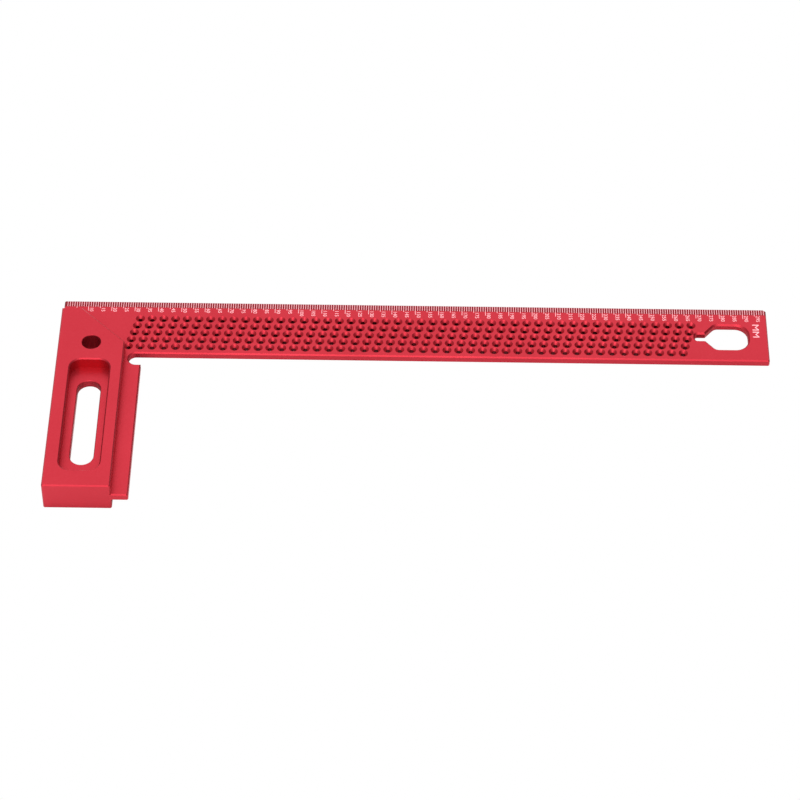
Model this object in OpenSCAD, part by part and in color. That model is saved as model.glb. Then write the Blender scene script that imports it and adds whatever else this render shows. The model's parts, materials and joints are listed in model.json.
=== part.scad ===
// Fixed layout square with a scribing-hole blade.
// A thin L-shaped core plate is clamped between two thick cheeks, which form the handle.
// The origin is the outer corner of the square: the zero of the scale, midway through the core plate.
// The blade runs along +X and the handle along -Y. The marked face looks along +Z.
// Lengths are in millimetres.

/* [Core plate] */
// Length of the blade, half a millimetre more than its scale
blade_len = 300.5; // [200.5:5:400.5]
// Width of the blade
blade_w = 30; // [30:0.5:34]
// Thickness of the core plate
plate_t = 3.5; // [3:0.1:4]
// How far the plate stands out past the cheeks, as a lip along the inside of the handle
lip_w = 7; // [6:0.5:12]
// Width of the round-ended relief notch in the inside corner
notch_w = 6.5; // [6:0.5:8]

/* [Handle] */
// Length of the handle, from the scale edge to its end
handle_len = 110; // [110:1:140]
// Width of each cheek
cheek_w = 28; // [28:0.5:32]
// Thickness of each cheek
cheek_t = 5.25; // [5:0.05:6.5]
// How far the cheeks stand back from the scale edge
cheek_setback = 8.8; // [7:0.2:9]
// Radius of the through bore near the head of the handle
bore_r = 4; // [3:0.25:4.5]
// Distance of that bore from the scale edge
bore_back = 29; // [28:0.1:30]
// Length of the window through each cheek
window_len = 62.4; // [50:0.2:62.4]
// Width of the window
window_w = 16.8; // [15:0.1:17.6]
// Radius of the window's corners
window_r = 5; // [3:0.5:6]
// Length of the finger slot through the core plate, inside the windows
slot_len = 47.1; // [40.1:0.2:48.1]
// Width of the finger slot
slot_w = 9.8; // [8:0.1:10.4]

/* [Scribing holes] */
// Rows of holes across the blade
hole_rows = 5; // [1:1:5]
// Distance between rows
row_pitch = 4.1; // [4.05:0.05:4.15]
// Distance between holes along a row
hole_pitch = 5; // [5:0.25:8]
// Distance of the first row from the scale edge
first_row = 9.7; // [9.4:0.1:9.8]
// Position of the first hole of the first row on the scale
first_hole = 33.1; // [33:0.1:36]
// How far each row is shifted towards the handle from the one before it
row_shift = 1; // [0.9:0.05:1.1]
// Radius of a hole's countersink at the marked face
rim_r = 1.95; // [1.5:0.05:2]
// Depth of that countersink
rim_deep = 1.1; // [1.05:0.05:1.6]
// Radius of its countersink at the back
back_rim_r = 1.5; // [1:0.1:1.6]
// Radius of the pin hole between them
pin_r = 0.85; // [0.5:0.05:0.9]

/* [Keyhole] */
// Width of the keyhole's wide part
key_w = 14; // [13:0.5:14]
// Width of its narrow part
key_neck_w = 3.8; // [3:0.1:4.5]
// Distance of its centre line from the scale edge
key_back = 16.2; // [15.8:0.1:16.3]
// Radius between the taper and the wide part
key_r = 3; // [2:0.25:4]
// Radius of the corners at the end of the wide part
key_end_r = 5.5; // [4:0.25:6]
// Angle of the taper between the two parts, from the blade's length
key_taper = 50; // [45:1:55]
// Chamfer round the keyhole
key_c = 0.7; // [0.3:0.05:0.7]

/* [Edges and fasteners] */
// Chamfer on the outer edges and the windows
edge_c = 0.5; // [0.3:0.05:0.5]
// Chamfer on the finger slot
slot_c = 0.25; // [0.2:0.05:0.4]
// Chamfer on the bore
bore_c = 0.15; // [0.1:0.05:0.4]
// Thread radius of the screws
screw_r = 1.5; // [1.25:0.05:1.5]
// Length of the screws, head included
screw_len = 12; // [11:0.5:12]
// Radius of the dowel pins
dowel_r = 1.5; // [1:0.25:1.5]
// Length of the dowel pins
dowel_len = 10; // [8:0.5:11]

/* [Hidden] */
$fn = 48;
eps = 0.2; // how far a cutting tool passes a face
over = 1.5; // how far a chamfer's bar passes an outer corner
gap = 0.02; // play between a screw or dowel and its own hole
plate_top = plate_t / 2;
handle_top = plate_top + cheek_t;
mid_x = cheek_w / 2;
bore_at = [mid_x, -bore_back];
window_end = 8.8; // metal left between the window and the handle's end
window_run = [window_w / 2 - window_r, window_len / 2 - window_r]; // half of each straight side
window_at = [mid_x + 0.4, window_end + window_len / 2 - handle_len];
slot_at = window_at + [0.05, -0.2];
slot_half = (slot_len - slot_w) / 2;
corner_back = 0.3; // how far the cheeks' 45 degree edge stands back from the outer corner's diagonal
// Inside corner notch, its round end next to the cheeks
notch_r = notch_w / 2;
notch_at = [cheek_w + 1.6 + notch_r, -blade_w - notch_r];
notch_low = -blade_w - notch_w;
lip_x = cheek_w + lip_w;
// Keyhole, on its own centre line
key_half = key_w / 2;
neck_half = key_neck_w / 2;
key_neck_end = blade_len - 31;
neck_r = 1.2;
neck_at = [key_neck_end + neck_r, neck_half - neck_r];
shoulder_at = [blade_len - 21, key_half - key_r];
taper_way = [cos(key_taper), sin(key_taper)];
taper_out = shoulder_at + key_r * [-taper_way.y, taper_way.x];
taper_in = [taper_out.x - (taper_out.y - neck_half) / tan(key_taper), neck_half];
key_end = blade_len - 8.4;
key_end_at = [key_end - key_end_r, key_half - key_end_r];
// The scribing holes stop short of the keyhole
hole_cols = floor((key_neck_end - 1.2 - first_hole) / hole_pitch) + 1;
// Screws, driven from the lower cheek into the upper one
screw_hole_r = screw_r + 0.2;
screw_head_r = 2 * screw_r;
head_seat_r = screw_head_r + 0.15;
screw_end_c = 0.3;
socket_r = 1.16;
socket_deep = 1.1;
screw_low = head_seat_r - screw_head_r; // how far a head sits below the face
screw_from = screw_low - handle_top;
tapped_deep = screw_from + screw_len + 0.4;
screw_heads = [[5, -18], [cheek_w - 5, -34]];
tail_y = 4.7 - handle_len;
screw_tails = [[6, tail_y], [cheek_w - 6, tail_y]];
screws = concat(screw_heads, screw_tails);
dowel_head_at = [5, -34];
dowel_tail_at = [mid_x, tail_y];
dowels = [dowel_head_at, dowel_tail_at];
dowel_deep = dowel_len / 2 + 0.2;

plate_points = [
    [0, 0],
    [blade_len - edge_c, 0],
    [blade_len, -edge_c],
    [blade_len, edge_c - blade_w],
    [blade_len - edge_c, -blade_w],
    [notch_at.x, -blade_w],
    [notch_at.x, notch_low],
    [lip_x, notch_low],
    [lip_x, edge_c - handle_len],
    [lip_x - edge_c, -handle_len],
    [edge_c, -handle_len],
    [0, edge_c - handle_len]
];

cheek_points = [
    [0, -cheek_setback],
    [cheek_setback - corner_back, -cheek_setback],
    [cheek_w, -cheek_w - corner_back],
    [cheek_w, edge_c - handle_len],
    [cheek_w - edge_c, -handle_len],
    [edge_c, -handle_len],
    [0, edge_c - handle_len]
];

// Chamfers are cut in steps, each a list of rims that lie apart from one another.
// A straight rim is [from, to]; it passes an outer corner, to meet the next one there in a mitre.
// A round rim, of a hole or of a rounded inside corner, is [centre, radius].
// The scale edge is left sharp, so that the scale's marks run right out to it.
plate_steps = [
    [[[0, -cheek_setback], [0, over]]],
    [passing(plate_points[1], plate_points[2])],
    [passing(plate_points[2], plate_points[3])],
    [passing(plate_points[3], plate_points[4])],
    [[[notch_at.x, -blade_w], [blade_len + over, -blade_w]]],
    [[[notch_at.x, notch_low], [lip_x + over, notch_low]]],
    [passing(plate_points[7], plate_points[8])],
    [passing(plate_points[8], plate_points[9])],
    [[[cheek_w, -handle_len], [lip_x + over, -handle_len]]],
    [[notch_at, notch_r]]
];

// The keyhole's steps, on its centre line
key_steps = [
    [[[key_neck_end, -neck_at.y], [key_neck_end, neck_at.y]]],
    [for (s = [-1, 1]) [[neck_at.x, s * neck_half], [taper_in.x + over, s * neck_half]]],
    [for (s = [-1, 1]) [flipped(taper_in - over * taper_way, s), flipped(taper_out, s)]],
    [for (s = [-1, 1]) [[shoulder_at.x, s * key_half], [key_end_at.x, s * key_half]]],
    [[[key_end, -key_end_at.y], [key_end, key_end_at.y]]],
    [for (s = [-1, 1]) [flipped(neck_at, s), neck_r]],
    [for (s = [-1, 1]) [flipped(shoulder_at, s), key_r]],
    [for (s = [-1, 1]) [flipped(key_end_at, s), key_end_r]]
];

// The finger slot's steps and the window's, from their own middle
slot_steps = [
    [for (s = [-1, 1]) [[s * slot_w / 2, -slot_half], [s * slot_w / 2, slot_half]]],
    [for (s = [-1, 1]) [[0, s * slot_half], slot_w / 2]]
];

window_steps = [
    [for (s = [-1, 1]) [[s * window_w / 2, -window_run.y], [s * window_w / 2, window_run.y]]],
    [for (s = [-1, 1]) [[-window_run.x, s * window_len / 2], [window_run.x, s * window_len / 2]]],
    [for (x = [-1, 1]) for (y = [-1, 1]) [[x * window_run.x, y * window_run.y], window_r]]
];

cheek_last = len(cheek_points) - 1;
cheek_steps = [for (i = [0:cheek_last]) [passing(cheek_points[i], cheek_points[i < cheek_last ? i + 1 : 0])]];

function flipped(p, s) = [p.x, s * p.y];

// A straight rim that passes both its corners
function passing(p, q) = [p - over * (q - p) / norm(q - p), q + over * (q - p) / norm(q - p)];

// Cutter for a rim: a bar with its square section on edge, or a cone
module rim_cutter(rim, c) {
    if (is_num(rim[1]))
        translate([rim[0].x, rim[0].y, -c])
            cylinder(r1 = rim[1], r2 = rim[1] + c + eps, h = c + eps);
    else {
        run = rim[1] - rim[0];
        translate(rim[0])
            rotate([90, 0, 90 + atan2(run.y, run.x)])
                linear_extrude(norm(run))
                    polygon([[c, 0], [0, c], [-c, 0], [0, -c]]);
    }
}

// The child with its upper rims chamfered, in steps from number i on, and its lower ones if low is 1
module chamfered(steps, height, c, low = 1, i = 0) {
    if (i == len(steps))
        children();
    else
        difference() {
            chamfered(steps, height, c, low, i + 1)
                children();
            for (face = [0:low])
                mirror([0, 0, face])
                    translate([0, 0, height])
                        for (rim = steps[i])
                            rim_cutter(rim, c);
        }
}

module slot_outline() {
    square([slot_w, 2 * slot_half], center = true);
    for (y = [-slot_half, slot_half])
        translate([0, y])
            circle(slot_w / 2);
}

// The children at each of the window's rounded corners
module at_window_corners() {
    for (x = [-1, 1])
        for (y = [-1, 1])
            translate([x * window_run.x, y * window_run.y])
                children();
}

module window_outline() {
    square([window_w, 2 * window_run.y], center = true);
    square([2 * window_run.x, window_len], center = true);
    at_window_corners()
        circle(window_r);
}

// Half of the keyhole's opening: everything above its centre line
module key_half_outline() {
    polygon([
        [key_neck_end, -eps],
        [key_neck_end, neck_at.y],
        [neck_at.x, neck_half],
        taper_in,
        taper_out,
        [shoulder_at.x, key_half],
        [key_end_at.x, key_half],
        [key_end, key_end_at.y],
        [key_end, -eps]
    ]);
    translate(neck_at)
        circle(neck_r);
    translate(shoulder_at)
        circle(key_r);
    translate(key_end_at)
        circle(key_end_r);
}

module through_plate() {
    linear_extrude(plate_t + 2 * eps, center = true)
        children();
}

// Blade, leg and lip, with the notch in the inside corner, the finger slot and the keyhole
module plate_blank() {
    difference() {
        linear_extrude(plate_t, center = true)
            polygon(plate_points);
        through_plate()
            translate(notch_at)
                circle(notch_r);
        through_plate()
            translate(slot_at)
                slot_outline();
        through_plate()
            translate([0, -key_back]) {
                key_half_outline();
                mirror([0, 1, 0])
                    key_half_outline();
            }
    }
}

// Everything of the core plate except its holes
module chamfered_plate() {
    translate(slot_at)
        chamfered(slot_steps, plate_top, slot_c, 0)
            translate([-slot_at.x, -slot_at.y - key_back])
                chamfered(key_steps, plate_top, key_c)
                    translate([0, key_back])
                        chamfered(plate_steps, plate_top, edge_c)
                            plate_blank();
}

// One scribing hole: a deep countersink, a pin hole and a shallow countersink at the back
module scribing_hole() {
    lead = 0.05;
    rotate_extrude()
        polygon([
            [0, plate_top + lead],
            [rim_r + lead * (rim_r - pin_r) / rim_deep, plate_top + lead],
            [pin_r, plate_top - rim_deep],
            [pin_r, back_rim_r - pin_r - plate_top],
            [back_rim_r + lead, -plate_top - lead],
            [0, -plate_top - lead]
        ]);
}

module scribing_holes() {
    for (row = [0:hole_rows - 1])
        for (col = [0:hole_cols - 1])
            translate([first_hole - row * row_shift + col * hole_pitch, -first_row - row * row_pitch])
                scribing_hole();
}

module core_plate() {
    color("crimson")
        difference() {
            chamfered_plate();
            translate(bore_at)
                cylinder(r = bore_r, h = plate_t + 2 * eps, center = true);
            for (at = screws)
                translate(at)
                    cylinder(r = screw_hole_r, h = plate_t + 2 * eps, center = true);
            for (at = dowels)
                translate(at)
                    cylinder(r = dowel_r + gap, h = plate_t + 2 * eps, center = true);
            scribing_holes();
        }
}

module cheek_blank() {
    translate([0, 0, plate_top])
        linear_extrude(cheek_t)
            difference() {
                polygon(cheek_points);
                translate(window_at)
                    window_outline();
            }
}

// One cheek above the core plate, before its screw holes
module cheek() {
    chamfered([[[bore_at, bore_r]]], handle_top, bore_c, 0)
        difference() {
            translate(window_at)
                chamfered(window_steps, handle_top, edge_c, 0)
                    translate(-window_at)
                        chamfered(cheek_steps, handle_top, edge_c, 0)
                            cheek_blank();
            translate([bore_at.x, bore_at.y, plate_top - eps])
                cylinder(r = bore_r, h = cheek_t + 2 * eps);
            for (at = dowels)
                translate([at.x, at.y, plate_top - eps])
                    cylinder(r = dowel_r + gap, h = dowel_deep - plate_top + eps);
        }
}

module upper_cheek() {
    color("crimson")
        difference() {
            cheek();
            for (at = screws)
                translate([at.x, at.y, plate_top - eps])
                    cylinder(r = screw_r + gap, h = tapped_deep - plate_top + eps);
        }
}

module lower_cheek() {
    seat = head_seat_r - screw_hole_r;
    color("crimson")
        difference() {
            mirror([0, 0, 1])
                cheek();
            for (at = screws)
                translate([at.x, at.y, -handle_top - eps])
                    cylinder(r = screw_hole_r, h = cheek_t + 2 * eps);
            for (at = screws)
                translate([at.x, at.y, -handle_top - eps])
                    cylinder(r1 = head_seat_r + eps, r2 = screw_hole_r, h = seat + eps);
        }
}

// Countersunk screw with a hexagon socket, head down
module screw(at) {
    cone = screw_head_r - screw_r;
    color("silver")
        translate([at.x, at.y, screw_from])
            difference() {
                rotate_extrude()
                    polygon([
                        [0, 0],
                        [screw_head_r, 0],
                        [screw_r, cone],
                        [screw_r, screw_len - screw_end_c],
                        [screw_r - screw_end_c, screw_len],
                        [0, screw_len]
                    ]);
                translate([0, 0, -eps])
                    cylinder(r = socket_r, h = socket_deep + eps, $fn = 6);
            }
}

module screw_head_outer() {
    screw(screw_heads[0]);
}

module screw_head_inner() {
    screw(screw_heads[1]);
}

module screw_tail_outer() {
    screw(screw_tails[0]);
}

module screw_tail_inner() {
    screw(screw_tails[1]);
}

// Straight pin with chamfered ends, which holds the three layers square to each other
module dowel(at) {
    end_c = 0.3;
    color("gainsboro")
        translate(at)
            rotate_extrude()
                polygon([
                    [0, -dowel_len / 2],
                    [dowel_r - end_c, -dowel_len / 2],
                    [dowel_r, end_c - dowel_len / 2],
                    [dowel_r, dowel_len / 2 - end_c],
                    [dowel_r - end_c, dowel_len / 2],
                    [0, dowel_len / 2]
                ]);
}

module dowel_head() {
    dowel(dowel_head_at);
}

module dowel_tail() {
    dowel(dowel_tail_at);
}

core_plate();
upper_cheek();
lower_cheek();
screw_head_outer();
screw_head_inner();
screw_tail_outer();
screw_tail_inner();
dowel_head();
dowel_tail();
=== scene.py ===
"""Fixed layout square: the CAD model with its materials, its scale, a floor, lights and a camera."""

import json
import math

import bmesh
import bpy
from mathutils import Matrix, Vector


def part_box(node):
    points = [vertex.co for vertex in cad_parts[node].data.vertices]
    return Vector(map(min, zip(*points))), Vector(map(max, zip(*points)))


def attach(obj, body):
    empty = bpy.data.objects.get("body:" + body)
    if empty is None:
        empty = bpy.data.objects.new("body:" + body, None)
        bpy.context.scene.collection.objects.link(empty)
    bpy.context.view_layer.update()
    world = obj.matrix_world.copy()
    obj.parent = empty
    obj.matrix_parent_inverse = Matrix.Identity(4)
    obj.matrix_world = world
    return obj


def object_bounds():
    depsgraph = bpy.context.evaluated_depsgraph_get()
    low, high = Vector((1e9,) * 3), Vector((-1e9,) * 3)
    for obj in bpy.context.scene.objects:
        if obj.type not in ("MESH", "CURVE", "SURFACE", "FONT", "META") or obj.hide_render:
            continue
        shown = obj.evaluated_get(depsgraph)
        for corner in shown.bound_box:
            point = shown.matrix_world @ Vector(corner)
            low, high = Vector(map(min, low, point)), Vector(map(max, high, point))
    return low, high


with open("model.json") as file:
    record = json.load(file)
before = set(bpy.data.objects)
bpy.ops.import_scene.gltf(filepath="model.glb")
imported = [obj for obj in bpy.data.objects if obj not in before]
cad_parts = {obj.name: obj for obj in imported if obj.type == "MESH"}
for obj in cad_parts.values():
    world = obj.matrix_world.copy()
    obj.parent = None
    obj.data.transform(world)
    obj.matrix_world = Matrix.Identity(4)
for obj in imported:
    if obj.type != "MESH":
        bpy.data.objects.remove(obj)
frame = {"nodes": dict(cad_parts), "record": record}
bpy.context.view_layer.update()
cad_low, cad_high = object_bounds()

MM = 0.001

# The scale's marks: one for each millimetre, longer for each five and each ten
TICK_LENGTHS = {10: 5.3 * MM, 5: 3.7 * MM, 1: 2.9 * MM}
TICK_WIDTH = 0.22 * MM
TICK_INSET = 0.04 * MM
SCALE_ZERO = 0.43 * MM
MARK_DEPTH = 0.012 * MM

# The numbers, one for each five millimetres, and the unit behind the last of them
CAPITAL_HEIGHT = 0.7  # of the built-in typeface, for a size of 1
DIGIT_HEIGHT = 1.6 * MM
DIGIT_STRETCH = 1.1
DIGIT_AHEAD = 0.65 * MM
DIGIT_START = 3.35 * MM
FIRST_NUMBER = 10
NUMBER_STEP = 5
UNIT_HEIGHT = 2.8 * MM
UNIT_STRETCH = 1.33
UNIT_PLACE = (294.2 * MM, -8.3 * MM)

# The camera: the point it looks at, its direction round the object, its distance and its lens
AIM = (144.67 * MM, -55.294 * MM)
AZIMUTH = math.radians(0.707)
ELEVATION = math.radians(47.03)
ROLL = math.radians(0.243)
DISTANCE = 1.3436
LENS = 144.92
SENSOR = 36.0

# The room's light: at the horizon and overhead, lost towards both sides, and lost from left to right
ROOM_LOW = 0.64
ROOM_HIGH = 1.63
ROOM_RISE = 0.75
ROOM_SIDES = 0.95
ROOM_LEAN = 0.17
KEY_PLACE = Vector((-0.15, -0.7, 1.25))
KEY_SIZE = 0.9
KEY_POWER = 6.8

# The floor
FLOOR_HALF = 3.0
FLOOR_GAP = 0.02 * MM
FLOOR_GLOW = 0.2
GLOW_FROM = -112 * MM

# The anodising's colours, and the painted shade of its small holes and corners
RED = (0.485, 0.0245, 0.04, 1)
DEEP_RED = (0.43, 0.017, 0.03, 1)
RUBBED_RED = (0.54, 0.045, 0.065, 1)
SCALE_RED = (0.2, 0.01, 0.016, 1)
# Painted shade: the dark colour for small holes and corners, where the metal closes in within the reach
# below
PAINTED_SHADE_RED = (0.05, 0.003, 0.006, 1)
SCALE_BAND = (-3.2 * MM, -2.8 * MM)
PAINTED_SHADE_REACH = 2 * MM


# ---- Node helpers -------------------------------------------------------------------------------


class Graph:
    """A material's node tree, with short calls for the nodes the materials here share."""

    def __init__(self, name):
        self.material = bpy.data.materials.new(name)
        self.material.use_nodes = True
        self.nodes = self.material.node_tree.nodes
        self.links = self.material.node_tree.links
        self.shader = self.nodes["Principled BSDF"]
        self.place = self.nodes.new("ShaderNodeTexCoord").outputs["Object"]

    def link(self, value, socket):
        """Feeds a socket from another socket, or sets it to a plain value."""
        if isinstance(value, bpy.types.NodeSocket):
            self.links.new(value, socket)
        else:
            socket.default_value = value

    def noise(self, per_metre, detail, rough=0.55, stretch=(1, 1, 1)):
        """A noise pattern of about 0 to 1, with so many features in a metre."""
        mapping = self.nodes.new("ShaderNodeMapping")
        mapping.inputs["Scale"].default_value = stretch
        self.links.new(self.place, mapping.inputs["Vector"])
        node = self.nodes.new("ShaderNodeTexNoise")
        node.inputs["Scale"].default_value = per_metre
        node.inputs["Detail"].default_value = detail
        node.inputs["Roughness"].default_value = rough
        self.links.new(mapping.outputs["Vector"], node.inputs["Vector"])
        return node.outputs["Fac"]

    def along(self, axis):
        """The distance along an axis, in metres."""
        split = self.nodes.new("ShaderNodeSeparateXYZ")
        self.links.new(self.place, split.inputs["Vector"])
        return split.outputs[axis]

    def openness(self, reach):
        """How open a point is, past the metal within reach: about 1 on a face, near 0 in a pin hole."""
        node = self.nodes.new("ShaderNodeAmbientOcclusion")
        node.samples = 8
        node.only_local = True
        node.inputs["Distance"].default_value = reach
        return node.outputs["AO"]

    def spread(self, value, low, high, start=0.3, end=0.7):
        """The value's range from start to end, taken to low and high."""
        node = self.nodes.new("ShaderNodeMapRange")
        node.inputs["From Min"].default_value = start
        node.inputs["From Max"].default_value = end
        node.inputs["To Min"].default_value = low
        node.inputs["To Max"].default_value = high
        self.links.new(value, node.inputs["Value"])
        return node.outputs["Result"]

    def mix(self, factor, a, b):
        """Colour a where the factor is 0, colour b where it is 1."""
        node = self.nodes.new("ShaderNodeMix")
        node.data_type = "RGBA"
        self.link(factor, node.inputs["Factor"])
        self.link(a, node.inputs["A"])
        self.link(b, node.inputs["B"])
        return node.outputs["Result"]

    def math(self, operation, a, b):
        node = self.nodes.new("ShaderNodeMath")
        node.operation = operation
        self.link(a, node.inputs[0])
        self.link(b, node.inputs[1])
        return node.outputs["Value"]

    def bump(self, height, depth, strength):
        """Raises the surface by the pattern, up to a depth."""
        node = self.nodes.new("ShaderNodeBump")
        node.inputs["Strength"].default_value = strength
        node.inputs["Distance"].default_value = depth
        self.links.new(height, node.inputs["Height"])
        self.links.new(node.outputs["Normal"], self.shader.inputs["Normal"])

    def set(self, **inputs):
        """Sets the shader's inputs by name, with an underscore for each space."""
        for name, value in inputs.items():
            self.link(value, self.shader.inputs[name.replace("_", " ")])


# ---- Materials ----------------------------------------------------------------------------------


def anodised_aluminium():
    """Bead-blasted aluminium in red anodising: fine grain, faint clouds in the dye, a few rubbed spots.

    It is darker in the band behind the scale's marks, and painted shade darkens its small holes and
    corners.
    """
    g = Graph("anodised_aluminium_red")
    clouds = g.noise(22, detail=3)
    grain = g.noise(5200, detail=2, rough=0.7)
    specks = g.noise(1500, detail=2)
    colour = g.mix(g.spread(clouds, 0.0, 0.35), RED, DEEP_RED)
    colour = g.mix(g.spread(specks, 0.0, 0.2, 0.45, 0.75), colour, RUBBED_RED)
    # Darker in a band along the scale edge, behind and between the marks
    colour = g.mix(g.spread(g.along("Y"), 0.0, 0.95, *SCALE_BAND), colour, SCALE_RED)
    # Painted shade: darker where the metal closes in round a point, as in pin holes and corners
    colour = g.mix(g.spread(g.openness(PAINTED_SHADE_REACH), 0.95, 0.0, 0.25, 0.85), colour, PAINTED_SHADE_RED)
    roughness = g.math("ADD", g.spread(clouds, 0.36, 0.44), g.spread(grain, -0.05, 0.05))
    g.set(Base_Color=colour, Metallic=0.85, Roughness=roughness)
    g.bump(grain, 0.004 * MM, 0.6)
    return g.material


def zinc_plated_steel():
    """Bright plated screws: fine turning marks and slight clouding."""
    g = Graph("zinc_plated_steel")
    clouds = g.noise(400, detail=3)
    rings = g.noise(1500, detail=2, stretch=(1, 1, 12))
    g.set(
        Base_Color=g.mix(g.spread(clouds, 0, 1), (0.6, 0.61, 0.62, 1), (0.46, 0.47, 0.5, 1)),
        Metallic=1.0,
        Roughness=g.spread(rings, 0.22, 0.36),
    )
    g.bump(rings, 0.004 * MM, 0.5)
    return g.material


def ground_steel():
    """Dowel pins, ground along their length."""
    g = Graph("ground_steel")
    scratches = g.noise(900, detail=4, stretch=(8, 8, 1))
    g.set(
        Base_Color=g.mix(g.spread(scratches, 0, 1), (0.66, 0.66, 0.65, 1), (0.52, 0.52, 0.52, 1)),
        Metallic=1.0,
        Roughness=g.spread(scratches, 0.18, 0.3),
    )
    g.bump(scratches, 0.003 * MM, 0.5)
    return g.material


def laser_mark():
    """Pale marks burnt through the dye, pink where some of it is left."""
    g = Graph("laser_mark")
    burn = g.noise(3500, detail=3, rough=0.7)
    g.set(
        Base_Color=g.mix(g.spread(burn, 0, 0.5), (0.98, 0.52, 0.56, 1), (0.95, 0.44, 0.48, 1)),
        Metallic=0.1,
        Roughness=g.spread(burn, 0.55, 0.75),
    )
    g.bump(burn, 0.003 * MM, 0.5)
    return g.material


def white_sweep():
    """A white floor that the camera sees evenly lit from above and sees through from below.

    It lets light through to the face that rests on it, so that this face isn't black from below. It
    also glows faintly in front of the handle, like a floor with light falling on it there.
    """
    g = Graph("white_sweep")
    mottle = g.noise(6, detail=2)
    pale = g.mix(g.spread(mottle, 0, 1), (0.9, 0.9, 0.9, 1), (0.87, 0.87, 0.87, 1))
    path = g.nodes.new("ShaderNodeLightPath").outputs
    seen = path["Is Camera Ray"]
    touching = g.math("LESS_THAN", path["Ray Length"], 10 * FLOOR_GAP)
    below = g.nodes.new("ShaderNodeNewGeometry").outputs["Backfacing"]
    glow = g.math("MULTIPLY", g.math("LESS_THAN", g.along("Y"), GLOW_FROM), FLOOR_GLOW)
    g.set(
        Base_Color=g.mix(seen, pale, (0, 0, 0, 1)),
        Roughness=0.9,
        Specular_IOR_Level=0,
        Emission_Color=(1, 1, 1, 1),
        Emission_Strength=g.math("MAXIMUM", seen, glow),
        Alpha=g.math("SUBTRACT", 1.0, g.math("MAXIMUM", below, touching)),
    )
    return g.material


def paint_nodes():
    """The CAD nodes' own slots, each with the material of its record slot."""
    finishes = {
        "anodised_aluminium": anodised_aluminium(),
        "screw_steel": zinc_plated_steel(),
        "dowel_steel": ground_steel(),
    }
    slots = {part["node"]: part["material_slot"] for part in frame["record"]["subparts"]}
    for name, node in frame["nodes"].items():
        for slot in node.material_slots:
            slot.material = finishes[slots[name]]


# ---- The scale ----------------------------------------------------------------------------------


def new_object(mesh, name, material):
    """An object in the scene from a mesh under construction."""
    data = bpy.data.meshes.new(name)
    mesh.to_mesh(data)
    mesh.free()
    data.materials.append(material)
    item = bpy.data.objects.new(name, data)
    bpy.context.scene.collection.objects.link(item)
    return item


def finish_piece(mesh, name, material):
    """A piece of the square, on its one body."""
    piece = new_object(mesh, name, material)
    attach(piece, "root")


def add_slab(mesh, low, high):
    """A closed box between two corners."""
    size = high - low
    place = Matrix.Translation((low + high) / 2) @ Matrix.Diagonal((*size, 1))
    bmesh.ops.create_cube(mesh, size=1, matrix=place)


def scale_ticks(length, top, material):
    """One thin mark for each millimetre, along the far edge of the plate. Its outer face is the zero."""
    mesh = bmesh.new()
    for count in range(1, math.floor(length / MM)):
        step = next(s for s in TICK_LENGTHS if count % s == 0)
        x = SCALE_ZERO + count * MM
        low = Vector((x - TICK_WIDTH / 2, -TICK_INSET - TICK_LENGTHS[step], top - MARK_DEPTH))
        high = Vector((x + TICK_WIDTH / 2, -TICK_INSET, top + MARK_DEPTH))
        add_slab(mesh, low, high)
    finish_piece(mesh, "scale_ticks", material)


def add_text(mesh, text, height, stretch, start):
    """Adds a word to a mesh, from its baseline's start and turned to read towards the handle's end."""
    curve = bpy.data.curves.new("lettering", "FONT")
    curve.body = text
    curve.size = height / CAPITAL_HEIGHT
    curve.extrude = MARK_DEPTH
    curve.resolution_u = 4
    holder = bpy.data.objects.new("lettering", curve)
    bpy.context.scene.collection.objects.link(holder)
    letters = holder.to_mesh()
    turn = Matrix.Rotation(-math.pi / 2, 4, "Z")
    letters.transform(Matrix.Translation(start) @ turn @ Matrix.Diagonal((stretch, 1, 1, 1)))
    mesh.from_mesh(letters)
    holder.to_mesh_clear()
    bpy.data.objects.remove(holder)
    bpy.data.curves.remove(curve)


def scale_numbers(length, top, material):
    """The number at every fifth mark, and the unit."""
    mesh = bmesh.new()
    for number in range(FIRST_NUMBER, math.floor(length / MM), NUMBER_STEP):
        start = Vector((SCALE_ZERO + number * MM + DIGIT_AHEAD, -DIGIT_START, top))
        add_text(mesh, str(number), DIGIT_HEIGHT, DIGIT_STRETCH, start)
    add_text(mesh, "MM", UNIT_HEIGHT, UNIT_STRETCH, Vector((*UNIT_PLACE, top)))
    finish_piece(mesh, "scale_numbers", material)


# ---- Floor, light and camera --------------------------------------------------------------------


def floor(height):
    mesh = bmesh.new()
    bmesh.ops.create_grid(mesh, x_segments=8, y_segments=8, size=FLOOR_HALF)
    sheet = new_object(mesh, "floor", white_sweep())
    sheet.location.z = height


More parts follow.
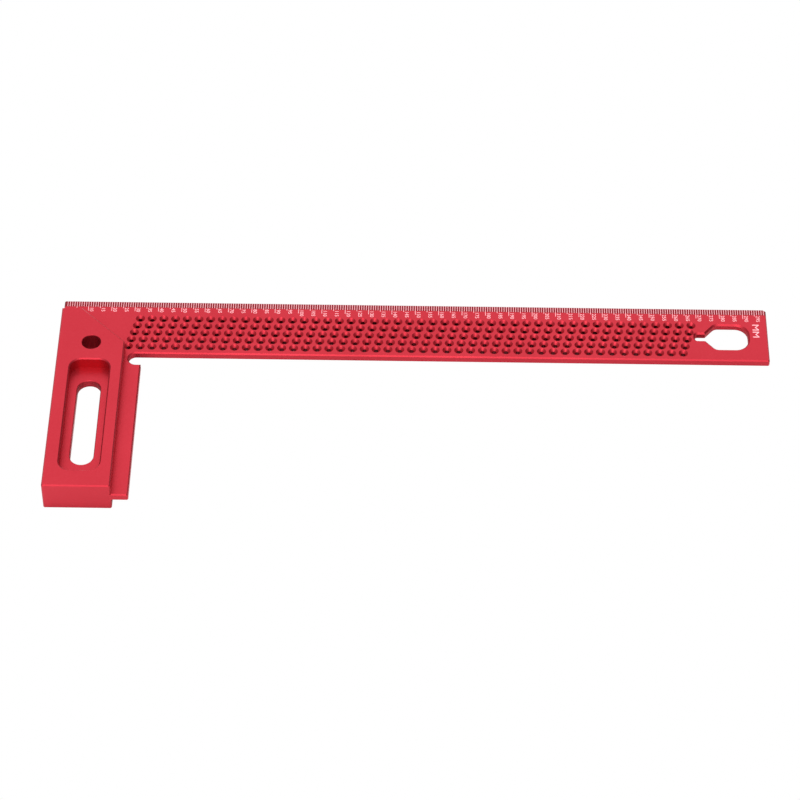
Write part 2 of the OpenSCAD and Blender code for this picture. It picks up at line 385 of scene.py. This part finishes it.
def white_room():
    """A room that is bright overhead and in front, and dim towards the horizon and the two sides."""
    world = bpy.data.worlds.new("white_room")
    world.use_nodes = True
    nodes, links = world.node_tree.nodes, world.node_tree.links

    def math_node(operation, *values):
        node = nodes.new("ShaderNodeMath")
        node.operation = operation
        for value, socket in zip(values, node.inputs):
            if isinstance(value, bpy.types.NodeSocket):
                links.new(value, socket)
            else:
                socket.default_value = value
        return node.outputs["Value"]

    split = nodes.new("ShaderNodeSeparateXYZ")
    links.new(nodes.new("ShaderNodeTexCoord").outputs["Generated"], split.inputs["Vector"])
    rise = nodes.new("ShaderNodeMapRange")
    rise.inputs["From Max"].default_value = ROOM_RISE
    rise.inputs["To Min"].default_value = ROOM_LOW
    rise.inputs["To Max"].default_value = ROOM_HIGH
    links.new(split.outputs["Z"], rise.inputs["Value"])
    sideways = math_node("MULTIPLY", split.outputs["X"], split.outputs["X"])
    narrow = math_node("MULTIPLY_ADD", sideways, -ROOM_SIDES, 1.0)
    lit = math_node("MULTIPLY", rise.outputs["Result"], narrow)
    lit = math_node("MULTIPLY_ADD", split.outputs["X"], -ROOM_LEAN, lit)
    links.new(math_node("MAXIMUM", lit, 0.0), nodes["Background"].inputs["Strength"])
    nodes["Background"].inputs["Color"].default_value = (1, 1, 1, 1)
    bpy.context.scene.world = world


def key_light(target):
    """A soft round light in front and above, slightly to the left."""
    data = bpy.data.lights.new("key", "AREA")
    data.shape = "DISK"
    data.size = KEY_SIZE
    data.energy = KEY_POWER
    light = bpy.data.objects.new("key", data)
    light.location = target + KEY_PLACE
    light.rotation_euler = (-KEY_PLACE).to_track_quat("-Z", "Y").to_euler()
    bpy.context.scene.collection.objects.link(light)


def camera(target):
    """The camera, at its angle and distance from a point on the plate's face."""
    back = Vector(
        (
            math.sin(AZIMUTH) * math.cos(ELEVATION),
            -math.cos(AZIMUTH) * math.cos(ELEVATION),
            math.sin(ELEVATION),
        )
    )
    data = bpy.data.cameras.new("camera")
    data.sensor_width = SENSOR
    data.lens = LENS
    viewer = bpy.data.objects.new("camera", data)
    viewer.location = target + back * DISTANCE
    viewer.rotation_mode = "QUATERNION"
    level = back.to_track_quat("Z", "Y")
    viewer.rotation_quaternion = level @ Matrix.Rotation(ROLL, 3, "Z").to_quaternion()
    bpy.context.scene.collection.objects.link(viewer)
    bpy.context.scene.camera = viewer


# ---- Build --------------------------------------------------------------------------------------

plate_low, plate_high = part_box("core_plate")
paint_nodes()
marks = laser_mark()
scale_ticks(plate_high.x, plate_high.z, marks)
scale_numbers(plate_high.x, plate_high.z, marks)
floor(cad_low.z - FLOOR_GAP)
white_room()
key_light((plate_low + plate_high) / 2)
camera(Vector((*AIM, plate_high.z)))
bpy.context.scene.view_settings.view_transform = "Standard"
